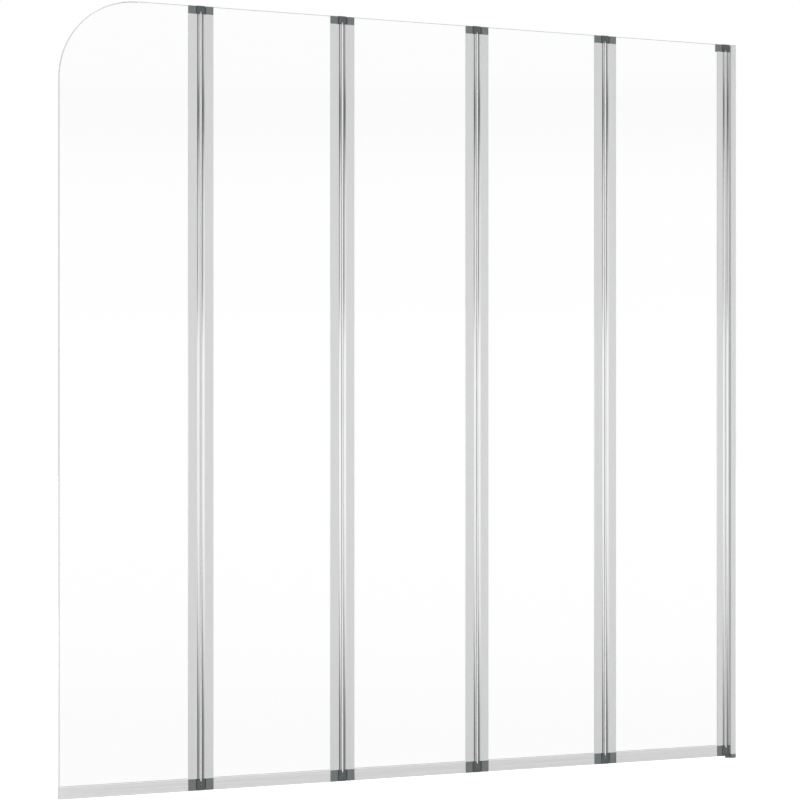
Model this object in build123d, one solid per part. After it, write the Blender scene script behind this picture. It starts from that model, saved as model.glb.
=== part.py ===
from build123d import *
import os

# Five-leaf folding bath screen. Millimetres, +Z up, wall on the +X side.
# The origin is the centre of the wall channel's back face. The leaves lie in line along -X.
# Leaf 1 hangs on the wall hinge, leaf 5 is the free one with the rounded corner.

# Glass
glass_thickness = 4.0
glass_arris = 0.4
pane_sight_width = 192.8
free_pane_sight_width = 202.0
corner_radius = 122.0
glass_lift = 8.0

# Heights
leaf_count = 5
screen_height = 1200.0
channel_lift = 3.0
top_cap_height = 12.4
bottom_cap_height = 18.0

# Hinge bar: a flat clamp flange that ends in a round barrel
barrel_radius = 3.75
barrel_gap = 0.5
barrel_bore_radius = 2.12
flange_length = 12.5
wall_flange_length = 9.4
cheek_thickness = 0.8
pocket_web = 3.0
flange_tip_radius = 0.4
back_cheek_setback = 2.0
key_port_radius = 0.9
key_port_inset = 1.6

# Gasket between glass and flange
gasket_thickness = 0.3
gasket_reveal = 0.3
gasket_lip_thickness = 0.6
gasket_seal_gap = 0.2

# End caps
cap_barrel_clearance = 0.3
cap_glass_clearance = 0.1
cap_edge_radius = 0.5
key_radius = 0.85
key_length = 9.0

# Hinge links, pins, bushes and the strip between two barrels
link_end_play = 0.8
link_crown = 0.4
link_edge_radius = 0.5
notch_width = 2.4
bottom_notch_depth = 4.8
top_notch_depth = 6.5
pin_radius = 1.5
pin_grip = 7.5
pin_reach = 13.0
pin_press_clearance = 0.02
pin_end_chamfer = 0.3
cross_pin_radius = 0.75
cross_pin_drop = 8.0
cross_pin_stand = 0.15
bush_running_clearance = 0.05
bush_seat_clearance = 0.02
bush_length = 14.0
bush_collar_radius = 3.0
bush_collar_thickness = 0.5
strip_web_thickness = 0.2
strip_bead_radius = 0.8
strip_bead_offset = 2.95
strip_tab_clearance = 0.05
top_tab_inset = 1.6
bottom_tab_inset = 0.3

# Lower seal of each leaf
seal_height = 18.7
seal_leg_thickness = 1.0
seal_bridge_thickness = 1.4
seal_skirt_thickness = 0.8
seal_skirt_splay = 0.5
seal_fin_thickness = 0.8
seal_fin_lift = 1.6
seal_end_gap = 0.2
seal_lip_length = 2.2
seal_lip_flare = 0.3

# Wall channel and the adjusting profile that slides in it
channel_reach = 9.6
channel_width = 12.0
channel_back_thickness = 1.6
channel_wall_thickness = 1.2
channel_edge_radius = 0.5
channel_barrel_gap = 0.35
wall_hole_radius = 2.15
wall_hole_count = 4
wall_hole_end_distance = 58.5
adjuster_clearance = 0.3
adjuster_wall_thickness = 1.2
adjuster_mouth_inset = 0.2
adjuster_back_gap = 3.0
adjuster_neck_width = 4.8

# Clamp screws and their covers, on the inner face of the channel
clamp_screw_count = 3
clamp_screw_end_distance = 148.5
clamp_screw_inset = 5.4
clamp_shank_radius = 1.9
clamp_hole_clearance = 0.2
clamp_thread_clearance = 0.02
clamp_tip_overrun = 0.6
clamp_head_radius = 2.8
clamp_head_height = 1.8
clamp_head_edge = 0.5
clamp_drive_radius = 1.1
clamp_drive_depth = 1.0
cover_radius = 3.8
cover_height = 2.9
cover_wall_thickness = 0.6
cover_edge_radius = 0.8

# Foot under the channel, with a toe below the wall hinge
foot_thickness = 6.5
foot_toe_thickness = 3.2
foot_toe_radius = 3.4
foot_edge_radius = 0.6
foot_plug_height = 10.0
foot_plug_clearance = 0.3

# One overrun for every cut
cut_overrun = 1.0

# Levels
channel_length = screen_height - channel_lift
top_z = channel_length / 2
channel_bottom_z = -channel_length / 2
seal_bottom_z = top_z - screen_height
bar_top_z = top_z - top_cap_height
bar_bottom_z = seal_bottom_z + bottom_cap_height
bar_length = bar_top_z - bar_bottom_z
glass_bottom_z = seal_bottom_z + glass_lift
gasket_bottom_z = max(bar_bottom_z, seal_bottom_z + seal_height + gasket_seal_gap)
top_link_z = bar_top_z + link_end_play
bottom_link_z = bar_bottom_z - link_end_play
cross_pin_z = bottom_link_z - cross_pin_drop

# Sections that follow from the glass
pocket_half = glass_thickness / 2 + gasket_thickness
flange_half = pocket_half + cheek_thickness
pocket_floor = barrel_radius + pocket_web
pane_inset = pocket_floor + gasket_thickness
key_x = pocket_floor - key_port_inset
barrel_pitch = 2 * barrel_radius + barrel_gap
cap_start = barrel_radius + cap_barrel_clearance
flange_end = barrel_radius + flange_length
wall_flange_end = barrel_radius + wall_flange_length

# Places of the barrels along X: the wall's own one, then two for each leaf
wall_barrel_x = -(channel_reach + channel_barrel_gap + barrel_radius)
wall_side_x = {}
free_side_x = {}
next_x = wall_barrel_x - barrel_pitch
for leaf in range(1, leaf_count + 1):
    wall_side_x[leaf] = next_x
    near_end = wall_flange_end if leaf == 1 else flange_end
    if leaf < leaf_count:
        free_side_x[leaf] = next_x - near_end - pane_sight_width - flange_end
        next_x = free_side_x[leaf] - barrel_pitch
free_edge_x = wall_side_x[leaf_count] - flange_end - free_pane_sight_width

# Turns of a bar, and the side of its own Y on which the screen's back is then
TOWARDS_FREE = Rot(0, 0, 180)
TOWARDS_WALL = Rot(0, 0, 0)
BACK_TOWARDS_FREE = -1
BACK_TOWARDS_WALL = 1


def save(node, shape):
    """Writes one sub-part under its node's name."""
    shape.label = node
    export_step(shape, f"parts/{node}.step")


def strip_box(x_low, x_high, half_width, z_low, z_high):
    """A box between two X places and two levels, centred on the screen's plane."""
    size_x = x_high - x_low
    size_z = z_high - z_low
    low_corner = (Align.MIN, Align.CENTER, Align.MIN)
    return Pos(x_low, 0, z_low) * Box(size_x, 2 * half_width, size_z, align=low_corner)


def across(radius, length, x, y, z):
    """A rod along +Y from the given point."""
    rod = Cylinder(radius, length, align=(Align.CENTER, Align.CENTER, Align.MIN))
    return Pos(x, y, z) * Rot(-90, 0, 0) * rod


def half_box(x_low, x_high, half_width, side):
    """A rectangle between two X places, from the screen's plane to one side of it."""
    from_plane = (Align.MIN, Align.MIN if side > 0 else Align.MAX)
    return Pos(x_low, 0) * Rectangle(x_high - x_low, half_width, align=from_plane)


def bar_section(flange, back):
    """Cross-section of a hinge bar: barrel at the origin, flange along +X, its shorter cheek at the back."""
    reach = barrel_radius + flange
    beside_barrel = (Align.MIN, Align.CENTER)
    section = half_box(0, reach, flange_half, -back)
    section += half_box(0, reach - back_cheek_setback, flange_half, back)
    tips = [v for v in section.vertices() if v.X > barrel_radius and abs(v.Y) > pocket_half]
    section = fillet(tips, flange_tip_radius)
    section = section + Circle(barrel_radius)
    pocket = Pos(pocket_floor, 0) * Rectangle(flange + cut_overrun, 2 * pocket_half, align=beside_barrel)
    return section - pocket - Circle(barrel_bore_radius) - Pos(key_x, 0) * Circle(key_port_radius)


def hinge_bar(flange, back):
    """The extruded clamp bar that holds one edge of a pane."""
    return Pos(0, 0, bar_bottom_z) * extrude(bar_section(flange, back), bar_length)


def gasket_leg(reach, side):
    """Section of the gasket on one side of the glass, with a small lip at the cheek's mouth."""
    tip = reach + gasket_reveal
    leg = half_box(pocket_floor, tip, pocket_half, side)
    leg += half_box(reach, tip, glass_thickness / 2 + gasket_lip_thickness, side)
    return leg - half_box(pane_inset, tip + cut_overrun, glass_thickness / 2, side)


def gasket(flange, back):
    """U-shaped glazing gasket in a bar's pocket."""
    reach = barrel_radius + flange
    section = gasket_leg(reach, -back) + gasket_leg(reach - back_cheek_setback, back)
    return Pos(0, 0, gasket_bottom_z) * extrude(section, bar_top_z - gasket_bottom_z)


def cap_block(length, height, back):
    """Rounded block of an end cap from the barrel's clearance outwards, its seat on the bar at z = 0; its cheek at
    the back is as short as the bar's."""
    block = strip_box(cap_start, length, flange_half, 0, height)
    upright = block.edges().filter_by(Axis.Z).sort_by(Axis.X)[-2:]
    block = fillet(upright, cap_edge_radius)
    outer_rim = block.faces().sort_by(Axis.Z)[-1].edges()
    block = fillet(outer_rim, cap_edge_radius)
    cheek_low = Pos(0, back * (glass_thickness / 2 + cap_glass_clearance))
    step = cheek_low * half_box(length - back_cheek_setback, length + cut_overrun, flange_half, back)
    return block - Pos(0, 0, -cut_overrun) * extrude(step, height + 2 * cut_overrun)


def cap_slot(length, depth):
    """Room for the pane in an end cap, from just inside the bar to the given depth."""
    slot_half = glass_thickness / 2 + cap_glass_clearance
    return strip_box(pocket_floor, length + cut_overrun, slot_half, -cut_overrun, depth)


def cap_key():
    """Round key that presses into the bar's key port."""
    downwards = (Align.CENTER, Align.CENTER, Align.MAX)
    return Pos(key_x, 0, 0) * Cylinder(key_radius, key_length, align=downwards)


def top_cap(length, back):
    """Cap on a bar's upper end; the pane runs up through its slot."""
    cap = cap_block(length, top_cap_height, back) - cap_slot(length, top_cap_height + cut_overrun) + cap_key()
    return Pos(0, 0, bar_top_z) * cap


def bottom_cap(length, back):
    """Shoe on a bar's lower end; the pane stands on its floor."""
    slot = cap_slot(length, bar_bottom_z - glass_bottom_z)
    shoe = cap_block(length, bottom_cap_height, -back) - slot + cap_key()
    return Pos(0, 0, bar_bottom_z) * Rot(180, 0, 0) * shoe


def bush():
    """Collared plastic bush in a barrel's upper end, seat of the collar at z = 0."""
    upwards = (Align.CENTER, Align.CENTER, Align.MIN)
    downwards = (Align.CENTER, Align.CENTER, Align.MAX)
    collar = Cylinder(bush_collar_radius, bush_collar_thickness, align=upwards)
    sleeve = Cylinder(barrel_bore_radius - bush_seat_clearance, bush_length, align=downwards)
    bore_length = bush_length + bush_collar_thickness + 2 * cut_overrun
    bore = Pos(0, 0, bush_collar_thickness + cut_overrun) * Cylinder(
        pin_radius + bush_running_clearance, bore_length, align=downwards
    )
    return collar + sleeve - bore


def bush_pair(barrel_x):
    """The upper and lower bush of one barrel."""
    upper = Pos(barrel_x, 0, bar_top_z) * bush()
    lower = Pos(barrel_x, 0, bar_bottom_z) * Rot(180, 0, 0) * bush()
    return [upper, lower]


def wedge(width, depth, half_thickness):
    """V-shaped wedge between two barrels, wide at z = 0 and pointed at its depth."""
    outline = make_face(Polyline((-width / 2, 0), (width / 2, 0), (0, depth), close=True))
    return extrude(Plane.XZ * outline, half_thickness, both=True)


def link(height, notch_depth):
    """Block that joins two barrels' pins, its barrel side at z = 0."""
    block = extrude(SlotCenterToCenter(barrel_pitch, 2 * barrel_radius), height)
    block = fillet(block.faces().sort_by(Axis.Z)[-1].edges(), link_edge_radius)
    block -= wedge(notch_width, notch_depth, barrel_radius + cut_overrun)
    for side in (-1, 1):
        block -= Pos(side * barrel_pitch / 2, 0, 0) * Cylinder(
            pin_radius + pin_press_clearance, pin_grip, align=(Align.CENTER, Align.CENTER, Align.MIN)
        )
    return block


def top_link(hinge_x):
    """The link between two barrels at the top of the screen."""
    height = top_z + link_crown - top_link_z
    return Pos(hinge_x, 0, top_link_z) * link(height, top_notch_depth)


def bottom_link(hinge_x):
    """The link between two barrels at the foot of the screen, drilled for the cross pin."""
    height = bottom_link_z - seal_bottom_z
    block = Pos(hinge_x, 0, bottom_link_z) * Rot(180, 0, 0) * link(height, bottom_notch_depth)
    reach = barrel_radius + cut_overrun
    return block - across(cross_pin_radius + pin_press_clearance, 2 * reach, hinge_x, -reach, cross_pin_z)


def hinge_pin():
    """Steel pin, its grip above z = 0 and its running end below."""
    length = pin_grip + link_end_play + pin_reach
    pin = Cylinder(pin_radius, length, align=(Align.CENTER, Align.CENTER, Align.MAX))
    pin = chamfer(pin.edges().filter_by(GeomType.CIRCLE), pin_end_chamfer)
    return Pos(0, 0, pin_grip) * pin


def cross_pin(hinge_x):
    """Pin across the bottom link, below the strip's pointed end."""
    reach = barrel_radius + cross_pin_stand
    pin = across(cross_pin_radius, 2 * reach, hinge_x, -reach, cross_pin_z)
    return chamfer(pin.edges().filter_by(GeomType.CIRCLE), cross_pin_stand)


def hinge_pins(hinge_x):
    """The four pins that two barrels turn on, and the cross pin."""
    pins = [cross_pin(hinge_x)]
    for side in (-1, 1):
        axis_x = hinge_x + side * barrel_pitch / 2
        pins.append(Pos(axis_x, 0, top_link_z) * hinge_pin())
        pins.append(Pos(axis_x, 0, bottom_link_z) * Rot(180, 0, 0) * hinge_pin())
    return pins


def strip_tab(notch_depth, inset):
    """Pointed end of a hinge strip, a little smaller than its notch and set back from the link's faces."""
    width = notch_width - 2 * strip_tab_clearance
    return wedge(width, notch_depth - strip_tab_clearance, barrel_radius - inset)


def hinge_strip(hinge_x):
    """Soft strip in the gap of two barrels: a thin web, two beads and a pointed tab at each end."""
    section = Rectangle(strip_web_thickness, 2 * strip_bead_offset)
    for side in (-1, 1):
        section += Pos(0, side * strip_bead_offset) * Circle(strip_bead_radius)
    strip = Pos(0, 0, bottom_link_z) * extrude(section, top_link_z - bottom_link_z)
    strip += Pos(0, 0, top_link_z) * strip_tab(top_notch_depth, top_tab_inset)
    strip += Pos(0, 0, bottom_link_z) * Rot(180, 0, 0) * strip_tab(bottom_notch_depth, bottom_tab_inset)
    return Pos(hinge_x, 0, 0) * strip


def pane(leaf):
    """Toughened glass of one leaf; the free one has a rounded upper corner."""
    x_high = wall_side_x[leaf] - pane_inset
    x_low = free_side_x[leaf] + pane_inset if leaf < leaf_count else free_edge_x
    width = x_high - x_low
    height = top_z - glass_bottom_z
    outline = Pos(x_low, glass_bottom_z) * Rectangle(width, height, align=(Align.MIN, Align.MIN))
    if leaf == leaf_count:
        corner = outline.vertices().sort_by(Axis.X)[:2].sort_by(Axis.Y)[-1]
        outline = fillet(corner, corner_radius)
    glass = extrude(Plane.XZ * outline, glass_thickness / 2, both=True)
    return chamfer(glass.edges(), glass_arris)


def seal_section():
    """Cross-section of the lower seal: a clip for the glass above a bridge, two skirts and a fin below."""
    inner = glass_thickness / 2
    outer = inner + seal_leg_thickness
    lip = outer + seal_lip_flare
    lip_z = seal_height - seal_lip_length
    bridge_z = glass_lift - seal_bridge_thickness
    skirt = outer + seal_skirt_splay
    half = [
        (0, glass_lift),
        (inner, glass_lift),
        (inner, seal_height),
        (lip, seal_height),
        (outer, lip_z),
        (outer, bridge_z),
        (skirt, 0),
        (skirt - seal_skirt_thickness, 0),
        (outer - seal_skirt_thickness, bridge_z),
        (seal_fin_thickness / 2, bridge_z),
        (seal_fin_thickness / 2, seal_fin_lift),
        (0, seal_fin_lift),
    ]
    right = make_face(Polyline(*half, close=True))
    return right + mirror(right, Plane.YZ)


def lower_seal(leaf):
    """The seal along a pane's lower edge, between the shoes of its bars."""
    near_end = wall_flange_end if leaf == 1 else flange_end
    x_high = wall_side_x[leaf] - near_end - seal_end_gap
    x_low = free_side_x[leaf] + flange_end + seal_end_gap if leaf < leaf_count else free_edge_x
    profile = Plane.YZ * seal_section()
    return Pos(x_low, 0, seal_bottom_z) * extrude(profile, x_high - x_low)


def levels_along(count, end_distance):
    """Levels of evenly spaced holes, the first and last at a distance from the channel's ends."""
    spacing = (channel_length - 2 * end_distance) / (count - 1)
    return [channel_bottom_z + end_distance + spacing * i for i in range(count)]


def wall_channel():
    """C-shaped channel that is screwed to the wall, open towards the leaves."""
    towards_leaves = (Align.MAX, Align.CENTER)
    outer = Rectangle(channel_reach, channel_width, align=towards_leaves)
    outer = fillet(outer.vertices().sort_by(Axis.X)[:2], channel_edge_radius)
    inner_width = channel_width - 2 * channel_wall_thickness
    inner = Pos(-channel_back_thickness, 0) * Rectangle(channel_reach, inner_width, align=towards_leaves)
    channel = Pos(0, 0, channel_bottom_z) * extrude(outer - inner, channel_length)
    for z in levels_along(wall_hole_count, wall_hole_end_distance):
        drill = Cylinder(wall_hole_radius, channel_back_thickness + 2 * cut_overrun)
        channel -= Pos(-channel_back_thickness / 2, 0, z) * Rot(0, 90, 0) * drill
    clamp_hole_radius = clamp_shank_radius + clamp_hole_clearance
    for z in levels_along(clamp_screw_count, clamp_screw_end_distance):
        channel -= across(clamp_hole_radius, channel_width, -clamp_screw_inset, 0, z)
    return channel


def adjusting_profile():
    """Inner profile: a U that slides in the channel, a neck and the wall's own barrel."""
    half = channel_width / 2 - channel_wall_thickness - adjuster_clearance
    front_x = -channel_reach + adjuster_mouth_inset
    depth = -adjuster_back_gap - front_x
    from_front = (Align.MIN, Align.CENTER)
    box = Pos(front_x, 0) * Rectangle(depth, 2 * half, align=from_front)
    hollow_half = half - adjuster_wall_thickness
    hollow = Pos(front_x + adjuster_wall_thickness, 0) * Rectangle(depth, 2 * hollow_half, align=from_front)
    slide = Pos(0, 0, channel_bottom_z) * extrude(box - hollow, channel_length)
    neck_length = front_x + adjuster_wall_thickness - wall_barrel_x
    neck = Pos(wall_barrel_x, 0) * Rectangle(neck_length, adjuster_neck_width, align=from_front)
    barrel = Pos(wall_barrel_x, 0) * Circle(barrel_radius)
    bore = Pos(wall_barrel_x, 0) * Circle(barrel_bore_radius)
    knuckle = Pos(0, 0, bar_bottom_z) * extrude(neck + barrel - bore, bar_length)
    profile = slide + knuckle
    thread_radius = clamp_shank_radius + clamp_thread_clearance
    for z in levels_along(clamp_screw_count, clamp_screw_end_distance):
        profile -= across(thread_radius, channel_width, -clamp_screw_inset, 0, z)
    return profile


def clamp_screw(z):
    """Pan-head screw through the channel into the adjusting profile, with a hexagon socket."""
    face_y = channel_width / 2
    tip_y = face_y - channel_wall_thickness - adjuster_clearance - adjuster_wall_thickness - clamp_tip_overrun
    head = across(clamp_head_radius, clamp_head_height, -clamp_screw_inset, face_y, z)
    head = fillet(head.edges().sort_by(Axis.Y)[-1], clamp_head_edge)
    shank = across(clamp_shank_radius, face_y - tip_y, -clamp_screw_inset, tip_y, z)
    socket = extrude(RegularPolygon(clamp_drive_radius, side_count=6), clamp_drive_depth)
    head_top_y = face_y + clamp_head_height
    socket = Pos(-clamp_screw_inset, head_top_y, z) * Rot(90, 0, 0) * socket
    return head + shank - socket


def clamp_cover(z):
    """Snap-on cover over one clamp screw."""
    face_y = channel_width / 2
    cover = across(cover_radius, cover_height, -clamp_screw_inset, face_y, z)
    cover = fillet(cover.edges().sort_by(Axis.Y)[-1], cover_edge_radius)
    hollow_radius = cover_radius - cover_wall_thickness
    hollow_height = cover_height - cover_wall_thickness
    return cover - across(hollow_radius, hollow_height, -clamp_screw_inset, face_y, z)


def channel_foot():
    """Plastic foot that closes the channel's lower end, with a round toe under the wall hinge."""
    foot_bottom_z = channel_bottom_z - foot_thickness
    toe_top_z = foot_bottom_z + foot_toe_thickness
    block = strip_box(-channel_reach, 0, channel_width / 2, foot_bottom_z, channel_bottom_z)
    block = fillet(block.edges().filter_by(Axis.Z).sort_by(Axis.X)[:2], foot_edge_radius)
    toe = strip_box(wall_barrel_x, -channel_wall_thickness, foot_toe_radius, foot_bottom_z, toe_top_z)
    toe += Pos(wall_barrel_x, 0, foot_bottom_z) * Cylinder(
        foot_toe_radius, foot_toe_thickness, align=(Align.CENTER, Align.CENTER, Align.MIN)
    )
    inner_half = channel_width / 2 - channel_wall_thickness - adjuster_clearance - adjuster_wall_thickness
    plug_low_x = -channel_reach + adjuster_mouth_inset + adjuster_wall_thickness + foot_plug_clearance
    plug_high_x = -channel_back_thickness - foot_plug_clearance
    plug_half = inner_half - foot_plug_clearance
    plug_top_z = channel_bottom_z + foot_plug_height
    plug = strip_box(plug_low_x, plug_high_x, plug_half, channel_bottom_z, plug_top_z)
    plug = fillet(plug.faces().sort_by(Axis.Z)[-1].edges(), foot_edge_radius)
    return block + toe + plug


def leaf_parts(leaf):
    """Writes every piece that swings with one leaf."""
    first = leaf == 1
    near_flange = wall_flange_length if first else flange_length
    near_end = wall_flange_end if first else flange_end
    near = Pos(wall_side_x[leaf], 0, 0) * TOWARDS_FREE
    save(f"leaf_{leaf}_glass", pane(leaf))
    save(f"leaf_{leaf}_wall_side_bar", near * hinge_bar(near_flange, BACK_TOWARDS_FREE))
    gaskets = [near * gasket(near_flange, BACK_TOWARDS_FREE)]
    caps = [near * top_cap(flange_end, BACK_TOWARDS_FREE), near * bottom_cap(near_end, BACK_TOWARDS_FREE)]
    bushes = bush_pair(wall_side_x[leaf])
    if leaf < leaf_count:
        far = Pos(free_side_x[leaf], 0, 0) * TOWARDS_WALL
        save(f"leaf_{leaf}_free_side_bar", far * hinge_bar(flange_length, BACK_TOWARDS_WALL))
        gaskets.append(far * gasket(flange_length, BACK_TOWARDS_WALL))
        caps += [far * top_cap(flange_end, BACK_TOWARDS_WALL), far * bottom_cap(flange_end, BACK_TOWARDS_WALL)]
        bushes += bush_pair(free_side_x[leaf])
    save(f"leaf_{leaf}_gaskets", Compound(children=gaskets))
    save(f"leaf_{leaf}_end_caps", Compound(children=caps))
    save(f"leaf_{leaf}_bushes", Compound(children=bushes))
    save(f"leaf_{leaf}_lower_seal", lower_seal(leaf))


def hinge_parts(hinge):
    """Writes the links, pins and strip that join a leaf to the piece before it."""
    hinge_x = wall_side_x[hinge] + barrel_pitch / 2
    save(f"hinge_{hinge}_top_link", top_link(hinge_x))
    save(f"hinge_{hinge}_bottom_link", bottom_link(hinge_x))
    save(f"hinge_{hinge}_pins", Compound(children=hinge_pins(hinge_x)))
    save(f"hinge_{hinge}_strip", hinge_strip(hinge_x))


def wall_parts():
    """Writes the pieces that stay on the wall."""
    levels = levels_along(clamp_screw_count, clamp_screw_end_distance)
    save("wall_channel", wall_channel())
    save("adjusting_profile", adjusting_profile())
    save("wall_bushes", Compound(children=bush_pair(wall_barrel_x)))
    save("clamp_screws", Compound(children=[clamp_screw(z) for z in levels]))
    save("clamp_screw_covers", Compound(children=[clamp_cover(z) for z in levels]))
    save("channel_foot", channel_foot())


os.makedirs("parts", exist_ok=True)
wall_parts()
for number in range(1, leaf_count + 1):
    hinge_parts(number)
    leaf_parts(number)

folded_gap = barrel_pitch / 2 - flange_half - strip_bead_radius
print(f"screen width {-free_edge_x:.2f}, strip to a folded flange {folded_gap:.2f}")
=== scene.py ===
"""Looks of a five-leaf folding bath screen: clear glass, polished aluminium, dark plastic, soft seals."""
import math

import bmesh
import bpy
import numpy as np
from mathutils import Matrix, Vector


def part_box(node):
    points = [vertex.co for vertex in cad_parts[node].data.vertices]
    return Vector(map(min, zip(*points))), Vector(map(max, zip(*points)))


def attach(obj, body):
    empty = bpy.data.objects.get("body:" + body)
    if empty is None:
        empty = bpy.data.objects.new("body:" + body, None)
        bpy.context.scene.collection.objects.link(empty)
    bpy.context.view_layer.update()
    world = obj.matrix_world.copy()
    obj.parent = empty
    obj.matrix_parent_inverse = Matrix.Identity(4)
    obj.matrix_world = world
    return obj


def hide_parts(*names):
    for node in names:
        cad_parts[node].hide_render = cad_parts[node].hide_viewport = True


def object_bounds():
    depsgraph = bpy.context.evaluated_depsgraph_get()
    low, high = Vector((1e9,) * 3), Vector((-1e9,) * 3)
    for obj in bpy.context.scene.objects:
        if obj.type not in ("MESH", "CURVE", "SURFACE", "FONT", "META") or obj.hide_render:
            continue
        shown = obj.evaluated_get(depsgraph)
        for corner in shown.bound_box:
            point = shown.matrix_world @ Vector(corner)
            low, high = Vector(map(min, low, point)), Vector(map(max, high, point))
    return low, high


MM = 0.001
LEAVES = 5

# Meshes: merge distance in metres, smooth shading's largest angle in degrees, how much of a side a corner's
# rounding may take, and the steps of its arc
MERGE_DISTANCE = 1e-7
SHARP_ANGLE = 35.0
ROUNDING_SHARE = 0.45
ROUNDING_STEPS = 4

# Where in a noise's range a colour or roughness starts and ends, and how many octaves a noise has
NOISE_LOW = 0.3
NOISE_HIGH = 0.7
CLOUD_DETAIL = 3.0
GRAIN_DETAIL = 2.0
WAVE_DETAIL = 1.0

# Noise scales, waves per metre along X, Y and Z, and bump depths, metres
DIE_LINE_SCALE = (1800.0, 1800.0, 3.0)
DIE_LINE_DEPTH = 0.000004
POLISH_DRIFT_SCALE = (40.0, 40.0, 6.0)
GRAIN_SCALE = (2600.0, 2600.0, 2600.0)
GRAIN_DEPTH = 0.00003
CLOUD_SCALE = (90.0, 90.0, 90.0)
FLOW_SCALE = (4.0, 500.0, 500.0)
FLOW_DEPTH = 0.00002
ROLLER_WAVE_SCALE = (3.0, 3.0, 9.0)
ROLLER_WAVE_DEPTH = 0.00002
TURNING_SCALE = (60.0, 60.0, 2400.0)
TURNING_DEPTH = 0.00001

# Colours and roughness at a noise's low and high end
SATIN_COLOURS = ((0.705, 0.71, 0.71, 1), (0.735, 0.74, 0.74, 1))
SATIN_ROUGHNESS = (0.36, 0.42)
POLISHED_COLOURS = ((0.89, 0.895, 0.90, 1), (0.92, 0.925, 0.93, 1))
POLISHED_ROUGHNESS = (0.05, 0.07)
GROUND_COLOURS = ((0.58, 0.60, 0.595, 1), (0.66, 0.68, 0.675, 1))
STEEL_COLOURS = ((0.60, 0.60, 0.60, 1), (0.68, 0.68, 0.68, 1))
STEEL_ROUGHNESS = (0.2, 0.32)
VINYL_ROUGHNESS = (0.34, 0.44)
GRAIN_ROUGHNESS = 0.06

# Aluminium: the satin parts' share of metal, the band round a flange's face that is satin, in millimetres,
# and how far from the wall barrel's axis its neck starts
SATIN_METALLIC = 0.35
FLANGE_FACE_BAND = 0.06
NECK_START = 2.8

# Plastics: colours, and the middle of the roughness
CAP_PLASTIC = ((0.136, 0.153, 0.153, 1), (0.150, 0.167, 0.167, 1), 0.43)
LINK_PLASTIC = ((0.076, 0.087, 0.087, 1), (0.090, 0.101, 0.101, 1), 0.35)
FOOT_PLASTIC = ((0.149, 0.161, 0.158, 1), (0.166, 0.178, 0.175, 1), 0.46)
BLACK_NYLON = ((0.012, 0.012, 0.012, 1), (0.020, 0.020, 0.020, 1), 0.51)
SILVER_PLASTIC = ((0.60, 0.61, 0.62, 1), (0.66, 0.67, 0.68, 1), 0.23)

# Glass and vinyl: index of refraction, the glass's colour, how far from its face an edge counts as ground,
# in millimetres, and the ground edge's roughness and share of clearness
REFRACTION = 1.5
GLASS_COLOUR = (0.995, 0.999, 0.998, 1)
GLASS_FACE_BAND = 0.01
GROUND_ROUGHNESS = 0.6
GROUND_CLEARNESS = 0.15

# Free leaf's edge, millimetres: its corner, and the bevel round the corner and down the straight side
CORNER_RADIUS = 122.0
EDGE_BEVEL = 1.3

# Vinyls: colours and clearness, and the paler colour painted on the seal's lip, painted light against its
# shade
SEAL_VINYL = ((0.65, 0.65, 0.65, 1), (0.71, 0.71, 0.71, 1), 0.1)
GASKET_VINYL = ((0.90, 0.905, 0.905, 1), (0.94, 0.945, 0.945, 1), 0.0)
STRIP_VINYL = ((0.90, 0.90, 0.90, 1), (0.94, 0.94, 0.94, 1), 0.0)
PAINTED_LIGHT_LIP_COLOUR = (0.95, 0.95, 0.95, 1)

# Lower seal, millimetres
SEAL_LEG = 1.0
SEAL_LIP_FLARE = 0.3
SEAL_LEAD_IN = 0.8
SEAL_PALE_LIP = 0.9
SEAL_BRIDGE = 1.4
SEAL_SKIRT = 0.8
SEAL_SKIRT_SPLAY = 0.5
SEAL_FIN_LIFT = 1.6
SEAL_RIDGE_DEPTH = 0.12
SEAL_RIDGE_COUNT = 5
SEAL_RIDGE_HALF = 0.5
SEAL_RIDGE_LOWEST = 1.4
SEAL_RIDGE_BELOW_TOP = 1.6
SEAL_LIP_LENGTH = 2.2
SEAL_ROUNDING = 0.2

# Glazing gasket, millimetres
GASKET_LIP_RADIUS = 0.2
GASKET_REVEAL = 0.3
GASKET_LIP = 0.6
GASKET_AIR = 0.03
GASKET_BACK_SETBACK = 2.0
GASKET_ROUNDING = 0.15

# Hinge strip, millimetres
STRIP_WEB = 0.2
STRIP_BEAD_RADIUS = 0.8
STRIP_TAB_WIDTH = 2.3
STRIP_TOP_TAB_HALF_DEPTH = 2.15
STRIP_BOTTOM_TAB_HALF_DEPTH = 3.45
STRIP_TRANSITION = 0.3
STRIP_POINT_SHARE = 0.02
STRIP_BEAD_POINTS = 9

# Camera, millimetres and degrees
CAMERA_PLACE = (-2074.5, -3396.2, -35.7)
CAMERA_TURN = 23.255
CAMERA_FOCAL_SHARE = 2.9108
CAMERA_SHIFT_SHARE = 0.02575
SENSOR_WIDTH = 36.0
CAMERA_CLIP_END = 200.0

# Studio
FLOOR_SIZE = 40.0
FLOOR_GAP = 0.0005
AMBIENT_LEVEL = 0.80
WHITE = (1.0, 1.0, 1.0, 1)
FLOOR_COLOUR = (0.9, 0.9, 0.9, 1)
FLOOR_GLOW = 0.15
FLOOR_SEEN_GLOW = 0.62

# Lamps: name, place, width and height in metres, and power in watts
LAMP_TARGET = (-0.58, 0.0, 0.0)
LAMPS = (
    ("key_light", (-2.8, -3.2, -0.2), (2.4, 0.7), 34.0),
    ("fill_light", (1.6, -3.4, -0.2), (2.4, 0.7), 20.0),
    ("back_light", (-1.0, 3.2, 0.8), (2.4, 1.4), 30.0),
)

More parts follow.
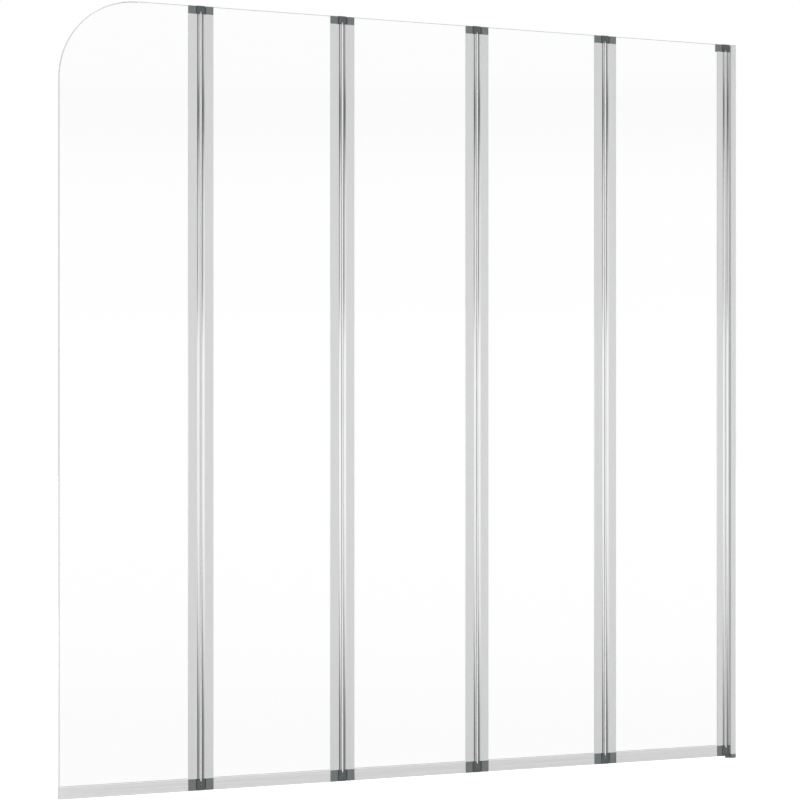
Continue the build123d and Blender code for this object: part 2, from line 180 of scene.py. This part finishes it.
# What polished metal mirrors: grey levels by degrees to the right of the camera, near its level, away
# from it and far from it, and how much of the last two shows at each elevation in degrees
NEAR_LEVELS = ((-180, 0.84), (-50, 0.84), (-10, 1.0), (120, 1.0), (180, 0.84))
AWAY_LEVELS = (
    (-180, 0.62), (-120, 0.60), (-75, 0.16), (-20, 0.14), (5, 0.34), (30, 0.74), (60, 0.90), (180, 0.75),
)
FAR_LEVELS = (
    (-180, 0.55), (-130, 0.50), (-90, 0.13), (-40, 0.06), (10, 0.06), (50, 0.13), (80, 0.28), (105, 0.62),
    (150, 0.72), (180, 0.60),
)
AWAY_SHARE = (
    (-60, 0.4), (-20, 1.0), (-6.0, 1.0), (-4.4, 0.5), (-2.5, 0.05), (1.9, 0.0), (2.3, 0.2), (2.75, 0.7),
    (3.2, 1.0), (4.0, 1.0), (4.7, 0.85), (5.2, 0.88), (5.7, 1.0), (20, 1.0), (60, 0.4),
)
FAR_SHARE = (
    (-60, 0.2), (-20, 1.0), (-9.0, 0.75), (-7.2, 0.75), (-6.5, 0.35), (-5.0, 0.05), (0, 0.0), (5.2, 0.0),
    (6.1, 0.2), (6.7, 0.45), (7.1, 0.8), (7.4, 1.0), (7.95, 1.0), (8.4, 0.45), (10.1, 0.35), (10.7, 1.0),
    (20, 1.0), (60, 0.2),
)

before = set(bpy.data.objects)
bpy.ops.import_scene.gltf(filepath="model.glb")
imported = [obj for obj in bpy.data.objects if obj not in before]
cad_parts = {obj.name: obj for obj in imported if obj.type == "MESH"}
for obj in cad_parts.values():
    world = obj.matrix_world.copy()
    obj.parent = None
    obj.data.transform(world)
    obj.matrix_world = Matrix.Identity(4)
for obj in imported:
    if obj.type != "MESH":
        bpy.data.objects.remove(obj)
cad_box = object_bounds()


class Nodes:
    """Short way to build a node tree."""

    def __init__(self, tree):
        self.tree = tree
        tree.nodes.clear()

    def add(self, kind, inputs=None, **settings):
        """Adds a node; inputs maps a socket's name or number to a value or to another node's output."""
        node = self.tree.nodes.new(kind)
        for name, value in settings.items():
            setattr(node, name, value)
        for name, value in (inputs or {}).items():
            self.feed(node, name, value)
        return node

    def feed(self, node, name, value):
        """Sets one input, or links it when the value is a socket."""
        if isinstance(value, bpy.types.NodeSocket):
            self.tree.links.new(value, node.inputs[name])
        else:
            node.inputs[name].default_value = value

    def math(self, operation, *values):
        """One Math node's result."""
        node = self.add("ShaderNodeMath", operation=operation)
        for number, value in enumerate(values):
            self.feed(node, number, value)
        return node.outputs[0]

    def blend(self, share, first, second):
        """A number that goes from the first to the second as the share goes from 0 to 1."""
        return self.add("ShaderNodeMix", {0: share, 2: first, 3: second}).outputs[0]

    def blend_colours(self, share, first, second):
        """A colour that goes from the first to the second as the share goes from 0 to 1."""
        return self.add("ShaderNodeMix", {0: share, 6: first, 7: second}, data_type="RGBA").outputs[2]

    def ramp(self, value, stops, smooth=True):
        """A Color Ramp: stops are pairs of place and grey level or colour."""
        node = self.add("ShaderNodeValToRGB", {0: value})
        node.color_ramp.interpolation = "EASE" if smooth else "LINEAR"
        elements = node.color_ramp.elements
        while len(elements) < len(stops):
            elements.new(0.5)
        for element, (place, level) in zip(elements, stops):
            element.position = place
            element.color = level if isinstance(level, tuple) else (level, level, level, 1)
        return node.outputs[0]


def surface(name, build):
    """A material whose Principled node is set up by build(nodes, shader)."""
    material = bpy.data.materials.new(name)
    material.use_nodes = True
    nodes = Nodes(material.node_tree)
    shader = nodes.add("ShaderNodeBsdfPrincipled")
    output = nodes.add("ShaderNodeOutputMaterial")
    nodes.feed(output, "Surface", shader.outputs[0])
    build(nodes, shader)
    return material


def stretched_noise(nodes, scale, detail):
    """Noise on Object coordinates with its own scale along each axis."""
    place = nodes.add("ShaderNodeTexCoord").outputs["Object"]
    mapped = nodes.add("ShaderNodeMapping", {"Vector": place, "Scale": scale}).outputs[0]
    return nodes.add("ShaderNodeTexNoise", {"Vector": mapped, "Scale": 1.0, "Detail": detail}).outputs[0]


def spread(nodes, noise, low, high):
    """A colour or grey level that runs from low to high over the middle of a noise's range."""
    return nodes.ramp(noise, [(NOISE_LOW, low), (NOISE_HIGH, high)])


def bump(nodes, shader, height, distance):
    """Relief of a material: distance is how far the height's full range reaches, in metres."""
    node = nodes.add("ShaderNodeBump", {"Height": height, "Distance": distance})
    nodes.feed(shader, "Normal", node.outputs[0])


def die_lines(nodes):
    """Fine lines of the extrusion's die, along Z."""
    return stretched_noise(nodes, DIE_LINE_SCALE, CLOUD_DETAIL)


def satin_look(nodes, lines):
    """Colour and roughness of satin anodising."""
    return spread(nodes, lines, *SATIN_COLOURS), spread(nodes, lines, *SATIN_ROUGHNESS)


def satin_aluminium():
    """Satin anodised extrusion."""

    def build(nodes, shader):
        lines = die_lines(nodes)
        colour, roughness = satin_look(nodes, lines)
        nodes.feed(shader, "Metallic", SATIN_METALLIC)
        nodes.feed(shader, "Base Color", colour)
        nodes.feed(shader, "Roughness", roughness)
        bump(nodes, shader, lines, DIE_LINE_DEPTH)

    return surface("satin_aluminium", build)


def barrel_aluminium(name, flat_part):
    """Extrusion with a polished barrel: flat_part(nodes, x, y) is 1 on satin flats and 0 on the barrel."""

    def build(nodes, shader):
        place = nodes.add("ShaderNodeTexCoord").outputs["Object"]
        parts = nodes.add("ShaderNodeSeparateXYZ", {0: place}).outputs
        flat = flat_part(nodes, parts["X"], parts["Y"])
        lines = die_lines(nodes)
        drift = stretched_noise(nodes, POLISH_DRIFT_SCALE, GRAIN_DETAIL)
        polished = spread(nodes, drift, *POLISHED_COLOURS)
        gloss = spread(nodes, lines, *POLISHED_ROUGHNESS)
        colour, roughness = satin_look(nodes, lines)
        nodes.feed(shader, "Metallic", nodes.blend(flat, 1.0, SATIN_METALLIC))
        nodes.feed(shader, "Base Color", nodes.blend_colours(flat, polished, colour))
        nodes.feed(shader, "Roughness", nodes.blend(flat, gloss, roughness))
        bump(nodes, shader, lines, DIE_LINE_DEPTH)

    return surface(name, build)


def moulded_plastic(name, low, high, roughness):
    """Satin moulded plastic: fine spark-eroded grain and a faint cloud in its colour."""

    def build(nodes, shader):
        grains = stretched_noise(nodes, GRAIN_SCALE, GRAIN_DETAIL)
        cloud = stretched_noise(nodes, CLOUD_SCALE, CLOUD_DETAIL)
        smooth, rough = roughness - GRAIN_ROUGHNESS, roughness + GRAIN_ROUGHNESS
        nodes.feed(shader, "Base Color", spread(nodes, cloud, low, high))
        nodes.feed(shader, "Roughness", spread(nodes, grains, smooth, rough))
        bump(nodes, shader, grains, GRAIN_DEPTH)

    return surface(name, build)


def soft_vinyl(name, low, high, clearness, painted_lip_z=None):
    """Milky flexible vinyl, see-through by its clearness, with flow marks along X, and above a given
    height, where there is one, a paler lip: painted light that lifts the shade along the seal's top."""

    def build(nodes, shader):
        flow = stretched_noise(nodes, FLOW_SCALE, CLOUD_DETAIL)
        colour = spread(nodes, flow, low, high)
        if painted_lip_z is not None:
            place = nodes.add("ShaderNodeTexCoord").outputs["Object"]
            level = nodes.add("ShaderNodeSeparateXYZ", {0: place}).outputs["Z"]
            # Painted light: the vinyl above this height is painted paler to lift the shade on the seal's
            # lip
            lip = nodes.math("GREATER_THAN", level, painted_lip_z)
            colour = nodes.blend_colours(lip, colour, PAINTED_LIGHT_LIP_COLOUR)
        nodes.feed(shader, "Base Color", colour)
        nodes.feed(shader, "Roughness", spread(nodes, flow, *VINYL_ROUGHNESS))
        nodes.feed(shader, "IOR", REFRACTION)
        nodes.feed(shader, "Transmission Weight", clearness)
        bump(nodes, shader, flow, FLOW_DEPTH)

    return surface(name, build)


def free_edge_bevel(nodes, x, z):
    """1 on the ground bevel of the free leaf's edge, up its straight side and round its corner."""
    low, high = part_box("leaf_5_glass")
    radius = CORNER_RADIUS * MM
    across = nodes.math("SUBTRACT", x, low.x + radius)
    up = nodes.math("SUBTRACT", z, high.z - radius)
    squares = nodes.math("ADD", nodes.math("MULTIPLY", across, across), nodes.math("MULTIPLY", up, up))
    rim = nodes.math("GREATER_THAN", nodes.math("SQRT", squares), radius - EDGE_BEVEL * MM)
    left = nodes.math("LESS_THAN", across, 0.0)
    corner = nodes.math("MULTIPLY", left, nodes.math("GREATER_THAN", up, 0.0))
    side = nodes.math("LESS_THAN", x, low.x + EDGE_BEVEL * MM)
    return nodes.math("MAXIMUM", nodes.math("MULTIPLY", corner, rim), side)


def clear_glass(face):
    """Toughened float glass with flat faces at y = face and -face: they are clear, with a roller wave too
    slight to see head on, and the edges between them are ground to a fine matt."""

    def build(nodes, shader):
        place = nodes.add("ShaderNodeTexCoord").outputs["Object"]
        parts = nodes.add("ShaderNodeSeparateXYZ", {0: place}).outputs
        across = nodes.math("ABSOLUTE", parts["Y"])
        edge = nodes.math("LESS_THAN", across, face - GLASS_FACE_BAND * MM)
        ground = nodes.math("MAXIMUM", edge, free_edge_bevel(nodes, parts["X"], parts["Z"]))
        grit = stretched_noise(nodes, GRAIN_SCALE, GRAIN_DETAIL)
        grey = spread(nodes, grit, *GROUND_COLOURS)
        nodes.feed(shader, "Base Color", nodes.blend_colours(ground, GLASS_COLOUR, grey))
        nodes.feed(shader, "Roughness", nodes.blend(ground, 0.0, GROUND_ROUGHNESS))
        nodes.feed(shader, "Transmission Weight", nodes.blend(ground, 1.0, GROUND_CLEARNESS))
        nodes.feed(shader, "IOR", REFRACTION)
        wave = stretched_noise(nodes, ROLLER_WAVE_SCALE, WAVE_DETAIL)
        bump(nodes, shader, wave, ROLLER_WAVE_DEPTH)

    return surface("clear_glass", build)


def machined_steel():
    """Stainless steel with fine turning marks round Z."""

    def build(nodes, shader):
        rings = stretched_noise(nodes, TURNING_SCALE, GRAIN_DETAIL)
        nodes.feed(shader, "Metallic", 1.0)
        nodes.feed(shader, "Base Color", spread(nodes, rings, *STEEL_COLOURS))
        nodes.feed(shader, "Roughness", spread(nodes, rings, *STEEL_ROUGHNESS))
        bump(nodes, shader, rings, TURNING_DEPTH)

    return surface("stainless_steel", build)


def paint(object_, material):
    """Gives every slot of an object one material."""
    if not object_.data.materials:
        object_.data.materials.append(material)
    for number in range(len(object_.material_slots)):
        object_.material_slots[number].material = material


def prism(name, rings):
    """Closed solid through equal closed outlines: rings is an array (stations, points, 3). Side (i, j)
    joins points j and j + 1 of stations i and i + 1. The first and last outlines are its ends."""
    rings = np.asarray(rings, float)
    stations, points = rings.shape[:2]
    i, j = np.meshgrid(np.arange(stations - 1), np.arange(points), indexing="ij")
    k = (j + 1) % points
    sides = np.stack([i * points + j, i * points + k, (i + 1) * points + k, (i + 1) * points + j], -1)
    faces = sides.reshape(-1, 4).tolist()
    faces.append(list(range(points))[::-1])
    faces.append(list(range((stations - 1) * points, stations * points)))
    mesh = bpy.data.meshes.new(name)
    mesh.from_pydata(rings.reshape(-1, 3).tolist(), [], faces)
    mesh.update()
    piece = bpy.data.objects.new(name, mesh)
    bpy.context.scene.collection.objects.link(piece)
    return piece


def outwards(piece):
    """Turns every face of a closed piece outwards and shades it smooth up to a sharp edge's angle."""
    work = bmesh.new()
    work.from_mesh(piece.data)
    bmesh.ops.remove_doubles(work, verts=work.verts, dist=MERGE_DISTANCE)
    bmesh.ops.recalc_face_normals(work, faces=work.faces)
    work.to_mesh(piece.data)
    work.free()
    piece.data.shade_smooth()
    piece.data.set_sharp_from_angle(angle=math.radians(SHARP_ANGLE))


def rounded(outline, radius):
    """Rounds each corner P of a closed outline: between its tangent points A and B, at most radius from P,
    the arc is the quadratic (1-t)^2 A + 2t(1-t) P + t^2 B, with t in equal steps."""
    corners = np.asarray(outline, float)
    before = np.roll(corners, 1, 0) - corners
    after = np.roll(corners, -1, 0) - corners
    length_before = np.linalg.norm(before, axis=1)[:, None]
    length_after = np.linalg.norm(after, axis=1)[:, None]
    cut = np.minimum(radius, ROUNDING_SHARE * np.minimum(length_before, length_after))
    start = corners + before / length_before * cut
    end = corners + after / length_after * cut
    t = np.linspace(0, 1, ROUNDING_STEPS + 1)[None, :, None]
    arc = (1 - t) ** 2 * start[:, None] + 2 * t * (1 - t) * corners[:, None] + t**2 * end[:, None]
    return arc.reshape(-1, 2)


def carried(outline, along, low, high):
    """An outline carried straight along one axis: x or z."""
    outline = np.asarray(outline, float)
    rings = np.zeros((2, len(outline), 3))
    run = np.array([[low], [high]])
    if along == "x":
        rings[..., 0] = run
        rings[..., 1] = outline[:, 0]
        rings[..., 2] = outline[:, 1]
    else:
        rings[..., 0] = outline[:, 0]
        rings[..., 1] = outline[:, 1]
        rings[..., 2] = run
    return rings


def joined(name, pieces):
    """Joins several new pieces into one."""
    bpy.ops.object.select_all(action="DESELECT")
    for piece in pieces:
        piece.select_set(True)
    bpy.context.view_layer.objects.active = pieces[0]
    bpy.ops.object.join()
    pieces[0].name = name
    pieces[0].data.name = name
    pieces[0].select_set(False)
    return pieces[0]


def stand_for(piece, body, node, material):
    """Lets a finished piece ride on a body in place of a CAD node."""
    outwards(piece)
    paint(piece, material)
    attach(piece, body)
    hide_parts(node)


def seal_outline(height, glass_lift, glass_half):
    """A half-outline and its mirror image: clip legs with gripping ridges, a bridge, splayed skirts and a
    fin between them."""
    outer = glass_half + SEAL_LEG
    bridge = glass_lift - SEAL_BRIDGE
    skirt = outer + SEAL_SKIRT_SPLAY
    ridge_z = np.linspace(glass_lift + SEAL_RIDGE_LOWEST, height - SEAL_RIDGE_BELOW_TOP, SEAL_RIDGE_COUNT)
    ridge = []
    for z in ridge_z:
        ridge += [(glass_half + SEAL_RIDGE_DEPTH, z - SEAL_RIDGE_HALF), (glass_half, z)]
    half = [(glass_half, glass_lift), *ridge, (glass_half, height - SEAL_LEAD_IN)]
    half += [(glass_half + SEAL_LEAD_IN, height), (outer + SEAL_LIP_FLARE, height)]
    half += [(outer + SEAL_LIP_FLARE, height - SEAL_PALE_LIP), (outer, height - SEAL_LIP_LENGTH)]
    half += [(outer, bridge)]
    half += [(skirt, 0.0), (skirt - SEAL_SKIRT, 0.0), (outer - SEAL_SKIRT, bridge)]
    half += [(SEAL_SKIRT / 2, bridge), (SEAL_SKIRT / 2, SEAL_FIN_LIFT)]
    half = np.array(half)
    other = half[::-1] * (-1, 1)
    return np.vstack([half, other])


def lower_seals(material):
    """A seal under each pane."""
    for leaf in range(1, LEAVES + 1):
        node = f"leaf_{leaf}_lower_seal"
        low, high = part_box(node)
        glass_low, glass_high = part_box(f"leaf_{leaf}_glass")
        glass_half = (glass_high.y - glass_low.y) / 2 / MM
        height = (high.z - low.z) / MM
        lift = (glass_low.z - low.z) / MM
        outline = rounded(seal_outline(height, lift, glass_half), SEAL_ROUNDING) * MM
        outline[:, 1] += low.z
        seal = prism(f"seal_{leaf}", carried(outline, "x", low.x, high.x))
        stand_for(seal, f"leaf_{leaf}", node, material)


def gasket_leg(reach, glass_half, pocket_half):
    """Half of the gasket's U, with a rounded lip that leans on the glass. x runs from the pocket's floor to
    the cheek's mouth."""
    lip = GASKET_LIP_RADIUS
    wall = pocket_half - glass_half
    mouth = reach - GASKET_REVEAL
    half = [
        (0.0, pocket_half),
        (mouth, pocket_half),
        (mouth, glass_half + GASKET_LIP),
        (mouth + lip, glass_half + GASKET_LIP),
        (reach, glass_half + lip),
        (reach, glass_half + GASKET_AIR),
        (wall - GASKET_AIR, glass_half + GASKET_AIR),
    ]
    return np.array(half)


def gaskets(material):
    """The gaskets of each leaf's bars."""
    for leaf in range(1, LEAVES + 1):
        node = f"leaf_{leaf}_gaskets"
        low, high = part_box(node)
        glass_low, glass_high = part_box(f"leaf_{leaf}_glass")
        glass_half = (glass_high.y - glass_low.y) / 2 / MM
        pocket_half = high.y / MM
        wall = pocket_half - glass_half
        sides = [(glass_high.x / MM, -1)]
        if leaf < LEAVES:
            sides.append((glass_low.x / MM, 1))
        made = []
        for edge_x, inward in sides:
            bar = f"leaf_{leaf}_wall_side_bar" if inward < 0 else f"leaf_{leaf}_free_side_bar"
            bar_low, bar_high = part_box(bar)
            mouth = bar_low.x / MM if inward < 0 else bar_high.x / MM
            floor = edge_x - inward * wall
            reach = abs(mouth + inward * GASKET_REVEAL - floor)
            front = gasket_leg(reach, glass_half, pocket_half)
            back = gasket_leg(reach - GASKET_BACK_SETBACK, glass_half, pocket_half)
            outline = rounded(np.vstack([back, front[::-1] * (1, -1)]), GASKET_ROUNDING)
            outline[:, 0] = floor + inward * outline[:, 0]
            made.append(prism(f"gasket_{leaf}_{len(made)}", carried(outline * MM, "z", low.z, high.z)))
        piece = joined(f"gasket_pair_{leaf}", made)
        stand_for(piece, f"leaf_{leaf}", node, material)


def strip_rings(centre_x, low_z, high_z, top_z, bottom_z, half_depth):
    """Stations of a hinge strip: between the links an outline of a web with two round beads, in the notches
    a plain wedge whose width shrinks in proportion to the height that is left to the point."""
    angle = np.linspace(-0.5 * math.pi, 0.5 * math.pi, STRIP_BEAD_POINTS)
    bead_y = half_depth - STRIP_BEAD_RADIUS
    upper = np.stack([STRIP_BEAD_RADIUS * np.sin(angle), bead_y + STRIP_BEAD_RADIUS * np.cos(angle)], -1)
    web_end = bead_y - STRIP_BEAD_RADIUS
    web = np.array([(STRIP_WEB / 2, web_end), (STRIP_WEB / 2, -web_end)])
    lower = upper[::-1] * (1, -1)
    web_back = web[::-1] * (-1, 1)
    body = np.vstack([upper, web, lower, web_back])
    tab = body.copy()
    sign = np.sign(tab[:, 0]) + (tab[:, 0] == 0)
    tab[:, 0] = sign * STRIP_TAB_WIDTH / 2
    top_tab = tab * (1, STRIP_TOP_TAB_HALF_DEPTH / half_depth)
    bottom_tab = tab * (1, STRIP_BOTTOM_TAB_HALF_DEPTH / half_depth)
    edge = STRIP_TRANSITION * MM
    stations = []
    for z, outline, share in (
        (bottom_z, bottom_tab, STRIP_POINT_SHARE), (low_z, bottom_tab, 1.0), (low_z + edge, body, 1.0),
        (high_z - edge, body, 1.0), (high_z, top_tab, 1.0), (top_z, top_tab, STRIP_POINT_SHARE),
    ):
        ring = np.zeros((len(outline), 3))
        ring[:, 0] = centre_x + outline[:, 0] * share * MM
        ring[:, 1] = outline[:, 1] * MM
        ring[:, 2] = z
        stations.append(ring)
    return np.array(stations)


def hinge_strips(material):
    """The soft strip of each hinge."""
    for hinge in range(1, LEAVES + 1):
        node = f"hinge_{hinge}_strip"
        low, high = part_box(node)
        top_low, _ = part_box(f"hinge_{hinge}_top_link")
        _, bottom_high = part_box(f"hinge_{hinge}_bottom_link")
        rings = strip_rings((low.x + high.x) / 2, bottom_high.z, top_low.z, high.z, low.z, high.y / MM)
        strip = prism(f"hinge_strip_{hinge}", rings)
        stand_for(strip, f"hinge_{hinge}_link", node, material)


def finish_frame():
    """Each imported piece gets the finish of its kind."""
    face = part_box("leaf_1_end_caps")[1].y
    neck_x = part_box("adjusting_profile")[0].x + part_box("leaf_1_wall_side_bar")[1].y + NECK_START * MM

    def flange_face(nodes, x, y):
        """1 on a bar's two flat faces."""
        off = nodes.math("ABSOLUTE", nodes.math("SUBTRACT", nodes.math("ABSOLUTE", y), face))
        return nodes.math("LESS_THAN", off, FLANGE_FACE_BAND * MM)

    def behind_neck(nodes, x, y):
        """1 from the neck to the wall."""
        return nodes.math("GREATER_THAN", x, neck_x)

    bar = barrel_aluminium("bar_aluminium", flange_face)
    profile = barrel_aluminium("profile_aluminium", behind_neck)
    channel = satin_aluminium()
    cap = moulded_plastic("dark_cap_plastic", *CAP_PLASTIC)
    link = moulded_plastic("dark_link_plastic", *LINK_PLASTIC)
    foot = moulded_plastic("dark_foot_plastic", *FOOT_PLASTIC)
    nylon = moulded_plastic("black_nylon", *BLACK_NYLON)
    silver = moulded_plastic("silver_cover_plastic", *SILVER_PLASTIC)
    glass = clear_glass(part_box("leaf_1_glass")[1].y)
    steel = machined_steel()
    kinds = (
        ("_bar", bar), ("wall_channel", channel), ("adjusting_profile", profile),
        ("_end_caps", cap), ("_link", link), ("channel_foot", foot), ("_bushes", nylon),
        ("_covers", silver), ("_glass", glass), ("_pins", steel), ("clamp_screws", steel),
    )
    for name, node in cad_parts.items():
        for ending, material in kinds:
            if name.endswith(ending):
                paint(node, material)


def studio_floor():
    """Pale floor: white to the camera but for the object's soft shadow, plain white through the glass,
    as refracted rays count as glossy, and not mirrored by metal."""
    low, _ = cad_box
    half = FLOOR_SIZE / 2
    z = low[2] - FLOOR_GAP
    mesh = bpy.data.meshes.new("floor")
    corners = [(-half, -half, z), (half, -half, z), (half, half, z), (-half, half, z)]
    mesh.from_pydata(corners, [], [(0, 1, 2, 3)])
    floor = bpy.data.objects.new("floor", mesh)
    bpy.context.scene.collection.objects.link(floor)
    material = bpy.data.materials.new("pale_floor")
    material.use_nodes = True
    nodes = Nodes(material.node_tree)
    rays = nodes.add("ShaderNodeLightPath").outputs
    matt = nodes.add("ShaderNodeBsdfDiffuse", {"Color": FLOOR_COLOUR})
    seen = nodes.math("MAXIMUM", rays["Is Camera Ray"], rays["Is Transmission Ray"])
    strength = nodes.blend(seen, FLOOR_GLOW, FLOOR_SEEN_GLOW)
    glow = nodes.add("ShaderNodeEmission", {"Color": WHITE, "Strength": strength})
    lit = nodes.add("ShaderNodeAddShader", {0: matt.outputs[0], 1: glow.outputs[0]})
    clear = nodes.add("ShaderNodeEmission", {"Color": WHITE, "Strength": 1.0})
    glossy = rays["Is Glossy Ray"]
    shown = nodes.add("ShaderNodeMixShader", {0: glossy, 1: lit.outputs[0], 2: clear.outputs[0]})
    output = nodes.add("ShaderNodeOutputMaterial")
    nodes.feed(output, "Surface", shown.outputs[0])
    floor.data.materials.append(material)
    floor.visible_glossy = False


def studio_world():
    """White to the camera and through the glass, an even grey light for matt surfaces, and for polished
    metal a studio with a white band at the camera's level and dark flags above and below it."""
    world = bpy.data.worlds.new("studio")
    bpy.context.scene.world = world
    world.use_nodes = True
    nodes = Nodes(world.node_tree)
    rays = nodes.add("ShaderNodeLightPath").outputs
    direction = nodes.add("ShaderNodeTexCoord").outputs["Generated"]
    turned = nodes.add("ShaderNodeVectorRotate", {"Vector": direction, "Angle": math.radians(CAMERA_TURN)})
    turned.rotation_type = "Z_AXIS"
    parts = nodes.add("ShaderNodeSeparateXYZ", {0: turned.outputs[0]}).outputs
    back = nodes.math("MULTIPLY", parts["Y"], -1.0)
    azimuth = nodes.math("DIVIDE", nodes.math("ARCTAN2", parts["X"], back), 2 * math.pi)
    place = nodes.math("ADD", azimuth, 0.5)
    elevation = nodes.math("DIVIDE", nodes.math("ARCSINE", parts["Z"]), math.pi)
    height = nodes.math("ADD", elevation, 0.5)

    def around(levels):
        return nodes.ramp(place, [(0.5 + degrees / 360, level) for degrees, level in levels], smooth=False)

    def upwards(shares):
        return nodes.ramp(height, [(0.5 + degrees / 180, share) for degrees, share in shares], smooth=False)

    mirrored = nodes.blend(upwards(AWAY_SHARE), around(NEAR_LEVELS), around(AWAY_LEVELS))
    mirrored = nodes.blend(upwards(FAR_SHARE), mirrored, around(FAR_LEVELS))
    white = nodes.add("ShaderNodeBackground", {"Color": WHITE, "Strength": 1.0})
    ambient = nodes.add("ShaderNodeBackground", {"Color": WHITE, "Strength": AMBIENT_LEVEL})
    shown = nodes.add("ShaderNodeBackground", {"Color": mirrored, "Strength": 1.0})
    seen = nodes.math("MAXIMUM", rays["Is Camera Ray"], rays["Is Transmission Ray"])
    glossy = rays["Is Glossy Ray"]
    first = nodes.add("ShaderNodeMixShader", {0: glossy, 1: ambient.outputs[0], 2: shown.outputs[0]})
    second = nodes.add("ShaderNodeMixShader", {0: seen, 1: first.outputs[0], 2: white.outputs[0]})
    output = nodes.add("ShaderNodeOutputWorld")
    nodes.feed(output, "Surface", second.outputs[0])


def soft_box(name, place, size, power):
    """A large soft lamp that polished metal doesn't show."""
    data = bpy.data.lights.new(name, "AREA")
    data.shape = "RECTANGLE"
    data.size, data.size_y = size
    data.energy = power
    lamp = bpy.data.objects.new(name, data)
    bpy.context.scene.collection.objects.link(lamp)
    lamp.location = place
    aim = np.array(LAMP_TARGET) - np.array(place)
    tilt = math.acos(-aim[2] / np.linalg.norm(aim))
    lamp.rotation_euler = (tilt, 0, math.atan2(aim[1], aim[0]) - math.pi / 2)
    lamp.visible_glossy = False
    lamp.visible_camera = False
    lamp.visible_transmission = False


def studio_lamps():
    """Two soft boxes in front and one behind, aimed at one place."""
    for name, place, size, power in LAMPS:
        soft_box(name, place, size, power)


def camera():
    """The photograph's view: level, with the horizon a little below the middle of the frame."""
    data = bpy.data.cameras.new("camera")
    data.sensor_width = SENSOR_WIDTH
    data.lens = SENSOR_WIDTH * CAMERA_FOCAL_SHARE
    data.shift_y = CAMERA_SHIFT_SHARE
    data.clip_end = CAMERA_CLIP_END
    view = bpy.data.objects.new("camera", data)
    bpy.context.scene.collection.objects.link(view)
    view.location = [value * MM for value in CAMERA_PLACE]
    view.rotation_euler = (math.radians(90), 0, -math.radians(CAMERA_TURN))
    bpy.context.scene.camera = view


finish_frame()
# The seal's lip above this height gets painted light: a paler colour against its shade
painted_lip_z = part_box("leaf_1_lower_seal")[1].z - SEAL_PALE_LIP * MM
lower_seals(soft_vinyl("seal_vinyl_painted_lip", *SEAL_VINYL, painted_lip_z))
gaskets(soft_vinyl("gasket_vinyl", *GASKET_VINYL))
hinge_strips(soft_vinyl("strip_vinyl", *STRIP_VINYL))
studio_floor()
studio_world()
studio_lamps()
camera()
bpy.context.scene.view_settings.view_transform = "Standard"
